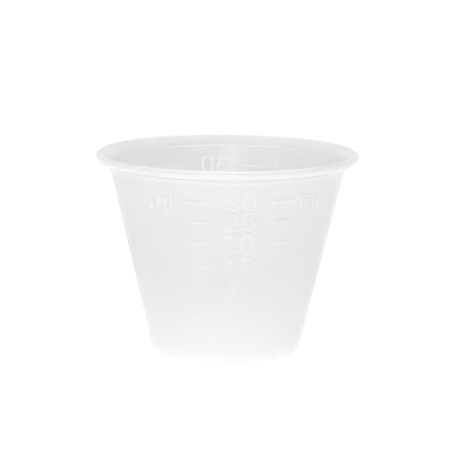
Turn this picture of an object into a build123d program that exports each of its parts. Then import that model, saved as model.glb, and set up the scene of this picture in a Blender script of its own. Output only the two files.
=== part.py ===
from build123d import *
from math import asin, cos, degrees, hypot, pi, radians, sin, sqrt, tan
import os

os.makedirs("parts", exist_ok=True)

# A small graduated medicine cup, moulded in one piece. It stands on its foot, with the axis
# along Z and the origin at the centre of the foot. All lengths are in millimetres.

# The cup itself
foot_diameter = 28.5
wall_lean = 13.0            # degrees that the wall leans outwards from the upright
wall_thickness = 0.45
height = 37.7               # from the foot to the crown of the lip
floor_thickness = 0.5
foot_recess = 0.4           # the floor is held this far off the table
foot_ring_width = 2.0       # the ring that the cup stands on
foot_bevel = 0.2
floor_corner_radius = 0.8   # inside, where the floor meets the wall

# The lip, a flare that thickens into a round bead
lip_rise = 2.1              # from the neck, where the wall turns outwards, to the crown
lip_reach = 2.45            # how far the lip stands out from the wall at the neck
bead_radius = 0.75

# The raised scale, which is there twice, on the front and on the back
mark_relief = 0.2
mark_bite = 0.1             # how deep a mark is rooted in the wall
volume_step = 5             # millilitres from one line to the next
full_volume = 30            # millilitres at the top line
panel_turns = (-90, 90)     # degrees round the axis, from +X
line_width = 0.45
line_from = 14.0            # degrees from the middle of the panel to the near end of a line
line_to = 28.5              # and to its far end
digit_width = 2.6
digit_height = 3.4
digit_gap = 0.5
digit_stroke = 0.5
digit_corner = 0.65         # how far back a digit's round corners are cut off
digit_lift = 0.25           # how far a number sits above its line's height
unit_turn = 40.5            # degrees from the middle of the panel to the unit beside the top line
unit_stroke = 0.5
unit_height = 3.4           # the whole height of the letter l
unit_low_height = 2.5       # the height of the letter m
unit_m_width = 4.0
unit_gap = 0.95             # from the m to the stem of the l
unit_foot = 1.5             # the foot under the l
unit_corner = 0.6           # how far back the shoulders of the m are cut off

# What follows from them
slope = tan(radians(wall_lean))
level_wall = wall_thickness / cos(radians(wall_lean))   # the wall's thickness measured level
foot_radius = foot_diameter / 2
floor_top = foot_recess + floor_thickness
neck_height = height - lip_rise


def outer_radius(level):
    """The outside of the wall at a height above the foot."""
    return foot_radius + slope * level


def inner_radius(level):
    """The inside of the wall at a height above the foot."""
    return outer_radius(level) - level_wall


def filled_height(millilitres):
    """The height at which the cup holds this much, as a cone standing on its cut-off tip."""
    floor_radius = inner_radius(floor_top)
    brim = (floor_radius**3 + millilitres * 1000 * 3 * slope / pi) ** (1 / 3)
    return floor_top + (brim - floor_radius) / slope


def touching_point(start, centre, radius, side):
    """Where a straight line from start touches a round edge, passing it on one side."""
    reach = centre - start
    length = hypot(reach.X, reach.Y)
    turn = side * degrees(asin(radius / length))
    return start + reach.rotate(Axis.Z, turn).normalized() * sqrt(length**2 - radius**2)


def cup_section():
    """Half of the cup's section, with the radius along X and the height along Y."""
    bead = Vector(outer_radius(neck_height) + lip_reach - bead_radius, height - bead_radius)
    outer_neck = Vector(outer_radius(neck_height), neck_height)
    inner_neck = Vector(inner_radius(neck_height), neck_height)
    under_bead = touching_point(outer_neck, bead, bead_radius, -1)
    over_bead = touching_point(inner_neck, bead, bead_radius, 1)
    recess_edge = foot_radius - foot_ring_width

    outline = Polyline(
        over_bead,
        inner_neck,
        (inner_radius(floor_top), floor_top),
        (0, floor_top),
        (0, foot_recess),
        (recess_edge, foot_recess),
        (recess_edge, 0),
        (foot_radius, 0),
        outer_neck,
        under_bead,
    )
    edge = ThreePointArc(under_bead, bead + Vector(bead_radius, 0), over_bead)
    section = make_face([outline, edge])
    floor_corner = section.vertices().sort_by_distance((inner_radius(floor_top), floor_top))[0]
    section = fillet(floor_corner, floor_corner_radius)
    foot_corner = section.vertices().sort_by_distance((foot_radius, 0))[0]
    section = chamfer(foot_corner, foot_bevel)
    return section


def mark_skin():
    """The thin skin over the wall in which every raised mark lies."""
    skin = Polyline(
        (foot_radius - mark_bite, 0),
        (foot_radius + mark_relief, 0),
        (outer_radius(neck_height) + mark_relief, neck_height),
        (outer_radius(neck_height) - mark_bite, neck_height),
        close=True,
    )
    return revolve(Plane.XZ * make_face(skin), Axis.Z)


def pen_line(stroke, corners, cuts):
    """A pen line of one width along the corners, each inner corner cut off by its own length."""
    points = [Vector(corners[0])]
    for before, corner, after, cut in zip(corners, corners[1:], corners[2:], cuts):
        bend = Vector(corner)
        for neighbour in (before, after):
            if cut:
                points.append(bend + (Vector(neighbour) - bend).normalized() * cut)
        if not cut:
            points.append(bend)
    points.append(Vector(corners[-1]))
    return trace(Polyline(*points), stroke)


def digit_shape(digit):
    """One digit drawn with a pen line, centred on the origin."""
    x = (digit_width - digit_stroke) / 2
    y = (digit_height - digit_stroke) / 2
    side = digit_width / 2
    end = digit_height / 2
    cut = digit_corner
    if digit == "0":
        outer = Rectangle(digit_width, digit_height)
        inner = Rectangle(digit_width - 2 * digit_stroke, digit_height - 2 * digit_stroke)
        return chamfer(outer.vertices(), cut) - chamfer(inner.vertices(), cut / 2)
    if digit == "1":
        stem = pen_line(digit_stroke, ((0.2 * x, -end), (0.2 * x, end)), ())
        return stem + pen_line(digit_stroke, ((-0.7 * x, 0.5 * y), (0.2 * x, y)), ())
    if digit == "2":
        hook = pen_line(digit_stroke, ((-x, 0.4 * y), (-x, y), (x, y), (x, 0.1 * y), (-x, -y)), (cut, cut, 0))
        return hook + pen_line(digit_stroke, ((-side, -y), (side, -y)), ())
    if digit == "3":
        upper = ((-x, 0.5 * y), (-x, y), (x, y), (x, 0), (-0.4 * x, 0))
        lower = ((-0.4 * x, 0), (x, 0), (x, -y), (-x, -y), (-x, -0.5 * y))
        cuts = (cut / 2, cut / 2, cut / 2)
        return pen_line(digit_stroke, upper, cuts) + pen_line(digit_stroke, lower, cuts)
    if digit == "5":
        corners = ((x, y), (-0.9 * x, y), (-0.9 * x, 0.2 * y), (x, 0.2 * y), (x, -y), (-x, -y), (-x, -0.5 * y))
        return pen_line(digit_stroke, corners, (0, 0, cut, cut, cut / 2))


def unit_shape():
    """The letters ml, drawn with the same pen and centred on the origin."""
    low = -unit_height / 2
    half = unit_stroke / 2
    left = -(unit_m_width + unit_gap + unit_foot / 2) / 2
    first = left + half
    arch = (unit_m_width - unit_stroke) / 2
    top = low + unit_low_height - half
    drawn = pen_line(unit_stroke, ((first, low), (first, top + half)), ())
    for start in (first, first + arch):
        corners = ((start, top), (start + arch, top), (start + arch, low))
        drawn += pen_line(unit_stroke, corners, (unit_corner,))
    stem = left + unit_m_width + unit_gap
    drawn += pen_line(unit_stroke, ((stem, low), (stem, low + unit_height)), ())
    foot = ((stem - unit_foot / 2, low + half), (stem + unit_foot / 2, low + half))
    return drawn + pen_line(unit_stroke, foot, ())


def through_wall(shape, turn, level):
    """Carries a flat shape from the axis out through the wall, turned round and raised."""
    facing = (cos(radians(turn)), sin(radians(turn)), 0)
    rightwards = (-sin(radians(turn)), cos(radians(turn)), 0)
    place = Plane(origin=(0, 0, level), x_dir=rightwards, z_dir=facing)
    return extrude(place * shape, amount=2 * outer_radius(height))


def line_stamp(turn, level):
    """One scale line, as a flat wedge that reaches out from the axis between two angles."""
    reach = 2 * outer_radius(height)
    wedge = Rectangle(reach, line_width, align=(Align.MIN, Align.CENTER))
    return Pos(0, 0, level) * Rot(0, 0, turn) * revolve(Plane.XZ * wedge, Axis.Z, line_to - line_from)


def number_stamps(number, turn, level):
    """The digits of one number side by side, each facing straight outwards."""
    digits = str(number)
    pitch = degrees((digit_width + digit_gap) / outer_radius(level))
    for place, digit in enumerate(digits):
        aside = (place - (len(digits) - 1) / 2) * pitch
        yield through_wall(digit_shape(digit), turn + aside, level + digit_lift)


def scale_stamps(turn):
    """Everything on one panel of the scale: numbers, lines and the unit."""
    for volume in range(volume_step, full_volume + 1, volume_step):
        level = filled_height(volume)
        yield from number_stamps(volume, turn, level)
        yield line_stamp(turn + line_from, level)
        yield line_stamp(turn - line_to, level)
    for side in (-1, 1):
        yield through_wall(unit_shape(), turn + side * unit_turn, filled_height(full_volume))


cup = revolve(Plane.XZ * cup_section(), Axis.Z)
skin = mark_skin()
marks = [mark for turn in panel_turns for stamp in scale_stamps(turn) for mark in (skin & stamp).solids()]
cup = cup + marks
export_step(cup, "parts/medicine_cup.step")
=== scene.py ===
"""A small graduated medicine cup of cloudy plastic, standing on a pale table."""

import math

import bmesh
import bpy
import numpy as np
from mathutils import Matrix, Vector


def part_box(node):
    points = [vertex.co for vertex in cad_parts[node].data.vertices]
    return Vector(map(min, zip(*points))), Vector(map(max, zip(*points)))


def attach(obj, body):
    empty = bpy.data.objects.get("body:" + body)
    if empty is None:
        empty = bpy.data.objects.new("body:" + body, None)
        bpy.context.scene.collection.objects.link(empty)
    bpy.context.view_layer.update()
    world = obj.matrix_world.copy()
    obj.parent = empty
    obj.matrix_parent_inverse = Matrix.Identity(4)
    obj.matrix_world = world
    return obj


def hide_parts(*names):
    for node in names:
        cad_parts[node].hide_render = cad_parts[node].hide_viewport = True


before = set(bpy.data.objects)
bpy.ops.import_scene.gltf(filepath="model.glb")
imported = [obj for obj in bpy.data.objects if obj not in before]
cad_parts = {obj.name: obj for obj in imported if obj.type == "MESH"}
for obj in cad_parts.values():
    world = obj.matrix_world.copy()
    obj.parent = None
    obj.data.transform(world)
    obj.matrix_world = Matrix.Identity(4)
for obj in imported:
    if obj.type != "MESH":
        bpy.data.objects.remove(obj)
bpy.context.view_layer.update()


# The cup is a single thin moulding of natural polypropylene. Its lip flares to a round bead with
# a low ring under it, a scale stands out on its front and back, and a foot ring holds its floor
# off the table. Its outline is turned round the axis, as the mould's core and cavity were.
cup_low, cup_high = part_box("medicine_cup")
cup_height = cup_high.z
rim_radius = min(cup_high.x, cup_high.y, -cup_low.x, -cup_low.y)
foot_radius = 0.01425
foot_recess = 0.0004
foot_ring_width = 0.002
floor_top = 0.0009
wall_lean = 13.0
wall_slope = math.tan(math.radians(wall_lean))
wall_thickness = 0.00045
level_wall = wall_thickness * math.hypot(1, wall_slope)
millilitre = 1e-6


def outer_radius(level):
    """The outside of the wall at a height, for a number or an array."""
    return foot_radius + wall_slope * level


def inner_radius(level):
    """The inside of the wall at a height, for a number or an array."""
    return outer_radius(level) - level_wall


def filled_height(volume):
    """The height to which this many millilitres of liquid fill the cup."""
    floor_radius = inner_radius(floor_top)
    brim = (floor_radius**3 + volume * millilitre * 3 * wall_slope / math.pi) ** (1 / 3)
    return floor_top + (brim - floor_radius) / wall_slope


lip_depth = 0.0021
neck_height = cup_height - lip_depth
neck = outer_radius(neck_height), neck_height
shoulder_drop = 0.0001
shoulder_height = neck_height - shoulder_drop
shoulder = inner_radius(shoulder_height), shoulder_height
ledge_width = 0.0003
ledge_rise = 0.00013
ledge = shoulder[0] + ledge_width, shoulder[1] + ledge_rise
slope_width = 0.00049
slope_rise = 0.00087
lip_slope = ledge[0] + slope_width, ledge[1] + slope_rise
bead_radius = 0.0008
bead_radius_out = rim_radius - bead_radius
bead_height = cup_height - bead_radius
bead_steps = 18

# Each corner of the low ring: how far it lies below the neck, and how far it stands out.
low_ring_relief = 0.00005
low_ring = (0.00028, 0), (0.0004, low_ring_relief), (0.00052, low_ring_relief), (0.00066, 0)

corner_rounding = {
    "floor": 0.0008, "shoulder": 0.00018, "ledge": 0.0001, "lip slope": 0.0006,
    "neck": 0.00022, "foot": 0.00022, "recess": 0.00012,
}
rounding_steps = 5
turning_steps = 192

# Sides of the outline longer than the first number get the second number of cuts: the wall
# first, for rows that are fine enough for the scale, and then the other long sides.
side_cuts = (0.03, 46), (0.0015, 3)


def bead_points():
    """The bead's round edge, from inside the lip over its crown and down to its underside."""
    ends = []
    for near, side in ((lip_slope, 1), (neck, -1)):
        reach = Vector((bead_radius_out - near[0], bead_height - near[1]))
        turn = math.asin(bead_radius / reach.length)
        slope_up = math.atan2(reach.y, reach.x) + side * turn
        ends.append(slope_up + side * math.pi / 2)
    first, last = ends
    for step in range(bead_steps + 1):
        angle = first + (last - first) * step / bead_steps
        out, up = bead_radius * math.cos(angle), bead_radius * math.sin(angle)
        yield bead_radius_out + out, bead_height + up


def turned_cup():
    """The plain cup, turned from its outline, with rows along its wall for the scale."""
    recess_edge = foot_radius - foot_ring_width
    corners = {"start": (0, floor_top), "floor": (inner_radius(floor_top), floor_top)}
    corners |= {"shoulder": shoulder, "ledge": ledge, "lip slope": lip_slope}
    corners |= {f"bead {place}": point for place, point in enumerate(bead_points())}
    corners["neck"] = neck
    for place, (drop, proud) in enumerate(low_ring):
        level = neck_height - drop
        corners[f"low ring {place}"] = (outer_radius(level) + proud, level)
    corners |= {"foot": (foot_radius, 0), "foot inside": (recess_edge, 0)}
    corners |= {"recess": (recess_edge, foot_recess), "end": (0, foot_recess)}

    cup = bmesh.new()
    places = {name: cup.verts.new((radius, 0, level)) for name, (radius, level) in corners.items()}
    line = list(places.values())
    for pair in zip(line, line[1:]):
        cup.edges.new(pair)
    for name, rounding in corner_rounding.items():
        bmesh.ops.bevel(
            cup, geom=[places[name]], offset=rounding, offset_type="OFFSET",
            segments=rounding_steps, profile=0.5, affect="VERTICES", material=-1,
        )
    for longest, cuts in side_cuts:
        for side in [edge for edge in cup.edges if edge.calc_length() > longest]:
            bmesh.ops.subdivide_edges(cup, edges=[side], cuts=cuts)
    bmesh.ops.spin(
        cup, geom=cup.verts[:] + cup.edges[:], cent=(0, 0, 0), axis=(0, 0, 1),
        angle=2 * math.pi, steps=turning_steps, use_merge=True,
    )
    bmesh.ops.remove_doubles(cup, verts=cup.verts[:], dist=1e-6)
    bmesh.ops.recalc_face_normals(cup, faces=cup.faces[:])
    return cup


# The scale is drawn with strokes of round-ended pens, in metres from each mark's middle. Turns are
# in degrees from the middle of the front or the back.
full_volume = 30
volume_step = 5
digit_width = 0.0026
digit_height = 0.0034
digit_gap = 0.0005
digit_half_stroke = 0.00025
digit_lift = 0.00025
line_from = 15.6
line_to = 27.2
line_half_width = 0.00022
unit_turns = (-40.5, 37.5)
unit_height = 0.0034
unit_low_height = 0.0025
first_stem = -0.0021
stem_spread = 0.0015
tall_stem_gap = 0.0014
arch_drop = 0.00065
arch_height = 0.0005
serif_reach = 0.0004
tall_foot_reach = 0.0006
thick_half_stroke = 0.0003
thin_half_stroke = 0.00017
bow_step = 15


def bow(centre, radii, first, last):
    """Points along part of an oval, from one angle to another."""
    for turn in np.radians(np.linspace(first, last, 2 + round(abs(last - first) / bow_step))):
        yield centre[0] + radii[0] * math.cos(turn), centre[1] + radii[1] * math.sin(turn)


def digit_strokes(digit):
    """The pen strokes of one digit, centred on the origin."""
    x = digit_width / 2 - digit_half_stroke
    y = digit_height / 2 - digit_half_stroke
    if digit == "0":
        crown = bow((0, y - x), (x, x), 0, 180)
        base = bow((0, x - y), (x, x), 180, 360)
        return [[*crown, *base, (x, y - x)]]
    if digit == "1":
        return [[(-0.55 * x, 0.55 * y), (0.2 * x, y), (0.2 * x, -y)]]
    if digit == "2":
        crown = bow((0, y - 0.95 * x), (x, 0.95 * x), 165, -35)
        return [[*crown, (-x, -y), (x, -y)]]
    if digit == "3":
        upper_bowl = bow((0, 0.5 * y), (0.85 * x, 0.5 * y), 150, -90)
        lower_bowl = bow((0, -0.5 * y), (x, 0.5 * y), 90, -150)
        return [[*upper_bowl], [*lower_bowl]]
    if digit == "5":
        bowl = bow((-0.1 * x, -0.35 * y), (1.1 * x, 0.65 * y), 135, -150)
        return [[(0.9 * x, y), (-0.75 * x, y), (-0.88 * x, 0.1 * y), *bowl]]


def unit_strokes():
    """The strokes of the letters ml and their serifs: each one's half width and its points."""
    low = -unit_height / 2
    tall_top = low + unit_height
    foot_level = low + thin_half_stroke
    arch_level = low + unit_low_height - arch_drop
    stems = [stem_spread * place + first_stem for place in range(3)]
    tall_stem = stems[-1] + tall_stem_gap
    uprights = [(stem, arch_level, serif_reach) for stem in stems]
    uprights.append((tall_stem, tall_top - thick_half_stroke, tall_foot_reach))
    for stem, top, foot_reach in uprights:
        yield thick_half_stroke, [(stem, low + thick_half_stroke), (stem, top)]
        yield thin_half_stroke, [(stem - foot_reach, foot_level), (stem + foot_reach, foot_level)]
    for stem in stems[:2]:
        middle = stem + stem_spread / 2
        yield thin_half_stroke, [*bow((middle, arch_level), (stem_spread / 2, arch_height), 180, 0)]
    for stem, top in ((stems[0], low + unit_low_height), (tall_stem, tall_top)):
        flag = [(stem - serif_reach, top - serif_reach), (stem, top - thin_half_stroke)]
        yield thin_half_stroke, flag


def scale_strokes():
    """Every stroke of the scale: its bearing round the axis, level, half width and points."""
    for panel in (-90, 90):
        for volume in range(volume_step, full_volume + 1, volume_step):
            level = filled_height(volume)
            pitch = math.degrees((digit_width + digit_gap) / outer_radius(level))
            digits = str(volume)
            for place, digit in enumerate(digits):
                turn = panel + (place - (len(digits) - 1) / 2) * pitch
                for stroke in digit_strokes(digit):
                    yield turn, level + digit_lift, digit_half_stroke, stroke
            half_length = outer_radius(level) * math.radians(line_to - line_from) / 2
            line = [(-half_length, 0), (half_length, 0)]
            for side in (-1, 1):
                turn = panel + side * (line_from + line_to) / 2
                yield turn, level, line_half_width, line
        for unit_turn in unit_turns:
            for half_width, stroke in unit_strokes():
                yield panel + unit_turn, filled_height(full_volume), half_width, stroke


def beyond_scale(points):
    """How far each point of the wall lies outside the nearest stroke, negative within one."""
    far_away = 1.0
    widest_reach = 0.005
    highest_reach = 0.003
    least_cosine = 0.8
    no_length = 1e-12
    bearing = np.arctan2(points[:, 1], points[:, 0])
    level = points[:, 2]
    radius = outer_radius(level)
    beyond = np.full(len(points), far_away)
    for turn, middle, half_width, stroke in scale_strokes():
        away = bearing - math.radians(turn)
        across, rise = radius * np.sin(away), level - middle
        beside = (np.cos(away) > least_cosine) & (np.abs(across) < widest_reach)
        near = np.flatnonzero(beside & (np.abs(rise) < highest_reach))
        spot = np.stack((across[near], rise[near]), 1)
        for first, last in zip(stroke, stroke[1:]):
            first, run = np.array(first), np.subtract(last, first)
            along = np.clip((spot - first) @ run / max(run @ run, no_length), 0, 1)
            gap = np.linalg.norm(spot - first - along[:, None] * run, axis=1) - half_width
            beyond[near] = np.minimum(beyond[near], gap)
    return beyond


# Marks at the upper of two levels have their full height, and those at the lower one a smaller
# share of it. The inside of the wall shows a faint echo of them.
mark_relief = 0.00016
echo_relief = 0.2 * mark_relief
fade_levels = (0.012, 0.027)
fade_shares = (0.3, 1.0)
scale_low = 0.004
scale_high = neck_height - 0.001
side_tolerance = 0.00015


def on_wall(points, side_radius):
    """True for the points on one side of the wall, clear of the floor and the neck."""
    level = points[:, 2]
    off_side = np.abs(np.hypot(points[:, 0], points[:, 1]) - side_radius(level))
    return (off_side < side_tolerance) & (level > scale_low) & (level < scale_high)


def raised_scale(cup, side_radius, reaches, relief, softness, inside):
    """Divides the wall ever finer near the strokes and pushes it out there, with soft shoulders."""
    for reach in reaches:
        cup.faces.ensure_lookup_table()
        middles = np.array([face.calc_center_median() for face in cup.faces])
        close = on_wall(middles, side_radius) & (beyond_scale(middles) < reach)
        edges = {edge for index in np.flatnonzero(close) for edge in cup.faces[index].edges}
        bmesh.ops.subdivide_edges(cup, edges=list(edges), cuts=1, use_grid_fill=True)
    points = np.array([vert.co for vert in cup.verts])
    chosen = np.flatnonzero(on_wall(points, side_radius))
    points = points[chosen]
    rise = np.clip(0.5 - beyond_scale(points) / (2 * softness), 0, 1)
    rise = rise**2 * (3 - 2 * rise) * np.interp(points[:, 2], fade_levels, fade_shares)
    stretch = (side_radius(points[:, 2]) + relief * rise) / np.hypot(points[:, 0], points[:, 1])
    cup.verts.ensure_lookup_table()
    mark_height = cup.verts.layers.float["mark_height"]
    for index, grow, height in zip(chosen, stretch, rise):
        vert = cup.verts[index]
        # Outside marks on the front get a positive height and all others a negative one. This makes
        # the front's marks cloudier and the rest clearer: painted light, as both panels are one
        # moulding.
        clear = inside or vert.co.y > 0
        vert.co = (vert.co.x * grow, vert.co.y * grow, vert.co.z)
        vert[mark_height] = -height if clear else height


cup = turned_cup()
cup.verts.layers.float.new("mark_height")
raised_scale(
    cup, outer_radius, reaches=(0.0005, 0.0003, 0.00016),
    relief=mark_relief, softness=0.00016, inside=False,
)
raised_scale(
    cup, inner_radius, reaches=(0.0006, 0.0003),
    relief=echo_relief, softness=0.00015, inside=True,
)
cup_mesh = bpy.data.meshes.new("cup_body")
cup.to_mesh(cup_mesh)
cup.free()
cup_body = bpy.data.objects.new("cup_body", cup_mesh)
bpy.context.scene.collection.objects.link(cup_body)
cup_mesh.shade_smooth()

# The plastic is cloudy and lets some light through, under a glossy skin with a satin grain and
# fine turning rings. It is cloudier in the lip and the foot. Up the lower half of the wall it
# grows whiter and cloudier towards the bottom, which is painted light from below; a cloudier band
# at the low ring is a painted highlight; and the front's marks are cloudier while the marks of the
# back and the inside are clearer, which is painted light, as both panels are one moulding.
wall_haze = (0.945, 0.945, 0.945, 1)
lip_haze = (0.97, 0.97, 0.97, 1)
foot_haze = (0.968, 0.968, 0.968, 1)
cloud_span = (0.3, 0.7)
satin_roughness = (0.36, 0.46)
wall_glow = (0.3, 0.4)
thick_glow = 0.15
grain_height = 0.00001
# Shares of whiter foot skin for the front's marks and of clear skin for the back's and inside
# marks, so that each shows lighter: painted light.
front_mark_painted_cloudiness = 0.38
back_mark_painted_clearness = 0.5
lip_start = neck_height - 0.0002
lip_full = neck_height + 0.0012
# The foot's skin takes this share at the table and fades out by this height: the foot is thicker,
# and the rest of the fade up the wall is painted light from below.
foot_and_base_light_share = 0.85
painted_base_light_end = 0.018
# A band of whiter foot skin at the low ring, just under the neck: a painted highlight line.
painted_ring_light_share = 0.6
painted_ring_light_start = neck_height - 0.0007
painted_ring_light_full = neck_height - 0.0005
painted_ring_light_fading = neck_height - 0.0004
plastic = bpy.data.materials.new("cloudy_polypropylene")
plastic.use_nodes = True
nodes, links = plastic.node_tree.nodes, plastic.node_tree.links
nodes.clear()


def ramp_along(value, low, high, bottom, top):
    """A number that goes smoothly from bottom to top while value goes from low to high."""
    ramp = nodes.new("ShaderNodeMapRange")
    ramp.interpolation_type = "SMOOTHSTEP"
    numbers = {"From Min": low, "From Max": high, "To Min": bottom, "To Max": top}
    for name, number in numbers.items():
        ramp.inputs[name].default_value = number
    links.new(value, ramp.inputs["Value"])
    return ramp.outputs["Result"]


def noise_over(place, scale, detail):
    """Smooth random spots over a place, this many to the metre."""
    noise = nodes.new("ShaderNodeTexNoise")
    noise.inputs["Scale"].default_value = scale
    noise.inputs["Detail"].default_value = detail
    links.new(place, noise.inputs["Vector"])
    return noise.outputs["Fac"]


def grain_from(heights, strength):
    """A very shallow grain that follows these heights."""
    grain = nodes.new("ShaderNodeBump")
    grain.inputs["Strength"].default_value = strength
    grain.inputs["Distance"].default_value = grain_height
    links.new(heights, grain.inputs["Height"])
    return grain


place_in_cup = nodes.new("ShaderNodeTexCoord").outputs["Object"]
split_place = nodes.new("ShaderNodeSeparateXYZ")
links.new(place_in_cup, split_place.inputs[0])
level_in_cup = split_place.outputs["Z"]
across_axis = nodes.new("ShaderNodeVectorMath")
across_axis.operation = "MULTIPLY"
across_axis.inputs[1].default_value = (1, 1, 0)
links.new(place_in_cup, across_axis.inputs[0])
from_axis = nodes.new("ShaderNodeVectorMath")
from_axis.operation = "LENGTH"
links.new(across_axis.outputs[0], from_axis.inputs[0])
along_outline = nodes.new("ShaderNodeCombineXYZ")
links.new(from_axis.outputs["Value"], along_outline.inputs["X"])
links.new(level_in_cup, along_outline.inputs["Y"])

clouds = noise_over(place_in_cup, scale=110.0, detail=3.0)
satin = ramp_along(clouds, *cloud_span, *satin_roughness)
grain_heights = noise_over(place_in_cup, scale=2600.0, detail=2.0)
satin_grain = grain_from(grain_heights, strength=0.25)
ring_heights = noise_over(along_outline.outputs[0], scale=2200.0, detail=2.0)
mould_rings = grain_from(ring_heights, strength=0.35)
links.new(satin_grain.outputs["Normal"], mould_rings.inputs["Normal"])
around = nodes.new("ShaderNodeTangent")
around.direction_type = "RADIAL"
around.axis = "Z"


def plastic_skin(name, colour, clearness, coat_roughness):
    """The plastic's glossy skin, over a body that lets this share of the light through."""
    skin = nodes.new("ShaderNodeBsdfPrincipled")
    skin.name = name
    skin.inputs["Base Color"].default_value = colour
    skin.inputs["IOR"].default_value = 1.49
    skin.inputs["Transmission Weight"].default_value = clearness
    skin.inputs["Anisotropic"].default_value = 0.6
    skin.inputs["Coat Weight"].default_value = 1.0
    skin.inputs["Coat Roughness"].default_value = coat_roughness
    skin.inputs["Coat IOR"].default_value = 1.4
    links.new(satin, skin.inputs["Roughness"])
    links.new(around.outputs["Tangent"], skin.inputs["Tangent"])
    links.new(mould_rings.outputs["Normal"], skin.inputs["Normal"])
    links.new(mould_rings.outputs["Normal"], skin.inputs["Coat Normal"])
    return skin.outputs["BSDF"]


def blended(share, first, second):
    """Two shaders mixed; share is a number or a socket."""
    mix = nodes.new("ShaderNodeMixShader")
    if isinstance(share, float):
        mix.inputs["Fac"].default_value = share
    else:
        links.new(share, mix.inputs["Fac"])
    links.new(first, mix.inputs[1])
    links.new(second, mix.inputs[2])
    return mix.outputs["Shader"]


glow_through = nodes.new("ShaderNodeBsdfTranslucent")
glow_through.inputs["Color"].default_value = wall_haze
glow = glow_through.outputs["BSDF"]
wall_skin = plastic_skin("wall", wall_haze, clearness=0.4, coat_roughness=0.22)
lip_skin = plastic_skin("lip", lip_haze, clearness=0.3, coat_roughness=0.32)
foot_skin = plastic_skin("foot", foot_haze, clearness=0.0, coat_roughness=0.22)
# Clear skin for the marks of the back and the inside, to show them lighter: painted light.
clear_skin = plastic_skin("clear_mark_painted_light", wall_haze, clearness=1.0, coat_roughness=0.06)
wall = blended(ramp_along(clouds, *cloud_span, *wall_glow), wall_skin, glow)
lip = blended(thick_glow, lip_skin, glow)
foot = blended(thick_glow, foot_skin, glow)

mark = nodes.new("ShaderNodeAttribute")
mark.attribute_name = "mark_height"
# Painted light: the front's marks go cloudier and the back's and inside marks clearer.
cloudy_mark_painted_light = ramp_along(mark.outputs["Fac"], 0.0, 1.0, 0.0, front_mark_painted_cloudiness)
clear_mark_painted_light = ramp_along(mark.outputs["Fac"], 0.0, -1.0, 0.0, back_mark_painted_clearness)
marked_wall = blended(clear_mark_painted_light, blended(cloudy_mark_painted_light, wall, foot), clear_skin)
# Painted highlight: the wall at the low ring takes a share of the foot skin.
into_painted_ring_light = ramp_along(level_in_cup, painted_ring_light_start, painted_ring_light_full, 0.0, painted_ring_light_share)
past_painted_ring_light = ramp_along(level_in_cup, painted_ring_light_fading, lip_start, 0.0, 1.0)
wall_with_painted_ring_light = blended(past_painted_ring_light, blended(into_painted_ring_light, marked_wall, foot), marked_wall)
thick_lip = ramp_along(level_in_cup, lip_start, lip_full, 0.0, 1.0)
# Whiter and cloudier towards the bottom: partly the thick foot, and up the wall painted light from
# the table below.
foot_and_painted_base_light = ramp_along(level_in_cup, 0.0, painted_base_light_end, foot_and_base_light_share, 0.0)
surface = blended(foot_and_painted_base_light, blended(thick_lip, wall_with_painted_ring_light, lip), foot)
plastic_output = nodes.new("ShaderNodeOutputMaterial")
links.new(surface, plastic_output.inputs["Surface"])
cup_mesh.materials.append(plastic)

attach(cup_body, "root")
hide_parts("medicine_cup")


# The table is one plain sheet of white acrylic that glows a little, as a light table does, so
# the cup stands on it with hardly a shadow.
table_reach = 1.2
table_colour = 0.3
table_glow = 0.85
table_roughness = 0.2
sheet = bmesh.new()
bmesh.ops.create_grid(sheet, x_segments=2, y_segments=2, size=table_reach)
table_mesh = bpy.data.meshes.new("table")
sheet.to_mesh(table_mesh)
sheet.free()
table = bpy.data.objects.new("table", table_mesh)
bpy.context.scene.collection.objects.link(table)
acrylic = bpy.data.materials.new("white_table")
acrylic.use_nodes = True
sheet_face = acrylic.node_tree.nodes["Principled BSDF"]
sheet_face.inputs["Base Color"].default_value = (table_colour, table_colour, table_colour, 1)
sheet_face.inputs["Roughness"].default_value = table_roughness
sheet_face.inputs["Emission Color"].default_value = (1, 1, 1, 1)
sheet_face.inputs["Emission Strength"].default_value = table_glow
table_mesh.materials.append(acrylic)


# The room is a white backdrop all round under a dimmer ceiling, and the camera sees plain
# white everywhere. Two soft lamps add to it: one overhead, and one tall and narrow in front.
# From here on the nodes and links, and with them ramp_along, are those of the room.
backdrop_top = 0.1
ceiling_start = 0.7
ceiling_level = 0.3
room = bpy.data.worlds.new("room")
bpy.context.scene.world = room
room.use_nodes = True
nodes, links = room.node_tree.nodes, room.node_tree.links
direction = nodes.new("ShaderNodeTexCoord")
height_in_room = nodes.new("ShaderNodeSeparateXYZ")
links.new(direction.outputs["Generated"], height_in_room.inputs[0])
fade = ramp_along(height_in_room.outputs["Z"], backdrop_top, ceiling_start, 1.0, ceiling_level)
ray = nodes.new("ShaderNodeLightPath")
white_for_camera = nodes.new("ShaderNodeMath")
white_for_camera.operation = "MAXIMUM"
links.new(fade, white_for_camera.inputs[0])
links.new(ray.outputs["Is Camera Ray"], white_for_camera.inputs[1])
nodes["Background"].inputs["Color"].default_value = (1, 1, 1, 1)
links.new(white_for_camera.outputs[0], nodes["Background"].inputs["Strength"])


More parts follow.
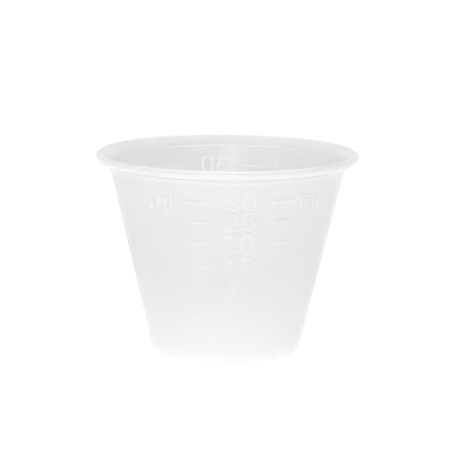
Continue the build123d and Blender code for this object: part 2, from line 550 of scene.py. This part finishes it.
def way_out(azimuth, elevation):
    """The way out from the cup, where azimuth 0 is in front of it and 90 to its right."""
    turn, lift = math.radians(azimuth), math.radians(elevation)
    level_reach = math.cos(lift)
    return Vector((math.sin(turn) * level_reach, -math.cos(turn) * level_reach, math.sin(lift)))


def add_softbox(name, azimuth, elevation, distance, width, height, brightness):
    """A flat, even lamp that faces the cup."""
    outwards = way_out(azimuth, elevation)
    box = bpy.data.lights.new(name, "AREA")
    box.shape = "RECTANGLE"
    box.size, box.size_y = width, height
    box.energy = brightness * math.pi * width * height
    lamp = bpy.data.objects.new(name, box)
    facing = outwards.to_track_quat("Z", "Y").to_matrix().to_4x4()
    lamp.matrix_world = Matrix.Translation(outwards * distance) @ facing
    bpy.context.scene.collection.objects.link(lamp)


add_softbox(
    "high_softbox", azimuth=175, elevation=72, distance=0.8,
    width=0.6, height=0.6, brightness=3.2,
)
add_softbox(
    "front_softbox", azimuth=-12.6, elevation=28, distance=0.9,
    width=0.03, height=0.75, brightness=25.0,
)


# The camera stands where the photograph was taken from: above the lip and a little to the left
# of the scale's middle. It aims at the middle of the cup, and is turned a little on its axis.
camera_distance = 0.30049
camera_azimuth = -6.7
camera_elevation = 11.239
camera_roll = math.radians(0.5325)
aim = Vector((-0.000325, 0.023421))
back = way_out(camera_azimuth, camera_elevation)
camera_turn = math.radians(camera_azimuth)
right = Vector((math.cos(camera_turn), math.sin(camera_turn), 0))
up = back.cross(right)
turned_right = right * math.cos(camera_roll) + up * math.sin(camera_roll)
turned_up = up * math.cos(camera_roll) - right * math.sin(camera_roll)
looked_at = right * aim.x + Vector((0, 0, aim.y))
camera_data = bpy.data.cameras.new("camera")
camera_data.sensor_width = 36
camera_data.lens = 125.87
camera_data.clip_start = 0.01
camera = bpy.data.objects.new("camera", camera_data)
facing = Matrix((turned_right, turned_up, back)).transposed().to_4x4()
camera.matrix_world = Matrix.Translation(looked_at + back * camera_distance) @ facing
bpy.context.scene.collection.objects.link(camera)
bpy.context.scene.camera = camera
bpy.context.scene.view_settings.view_transform = "Standard"
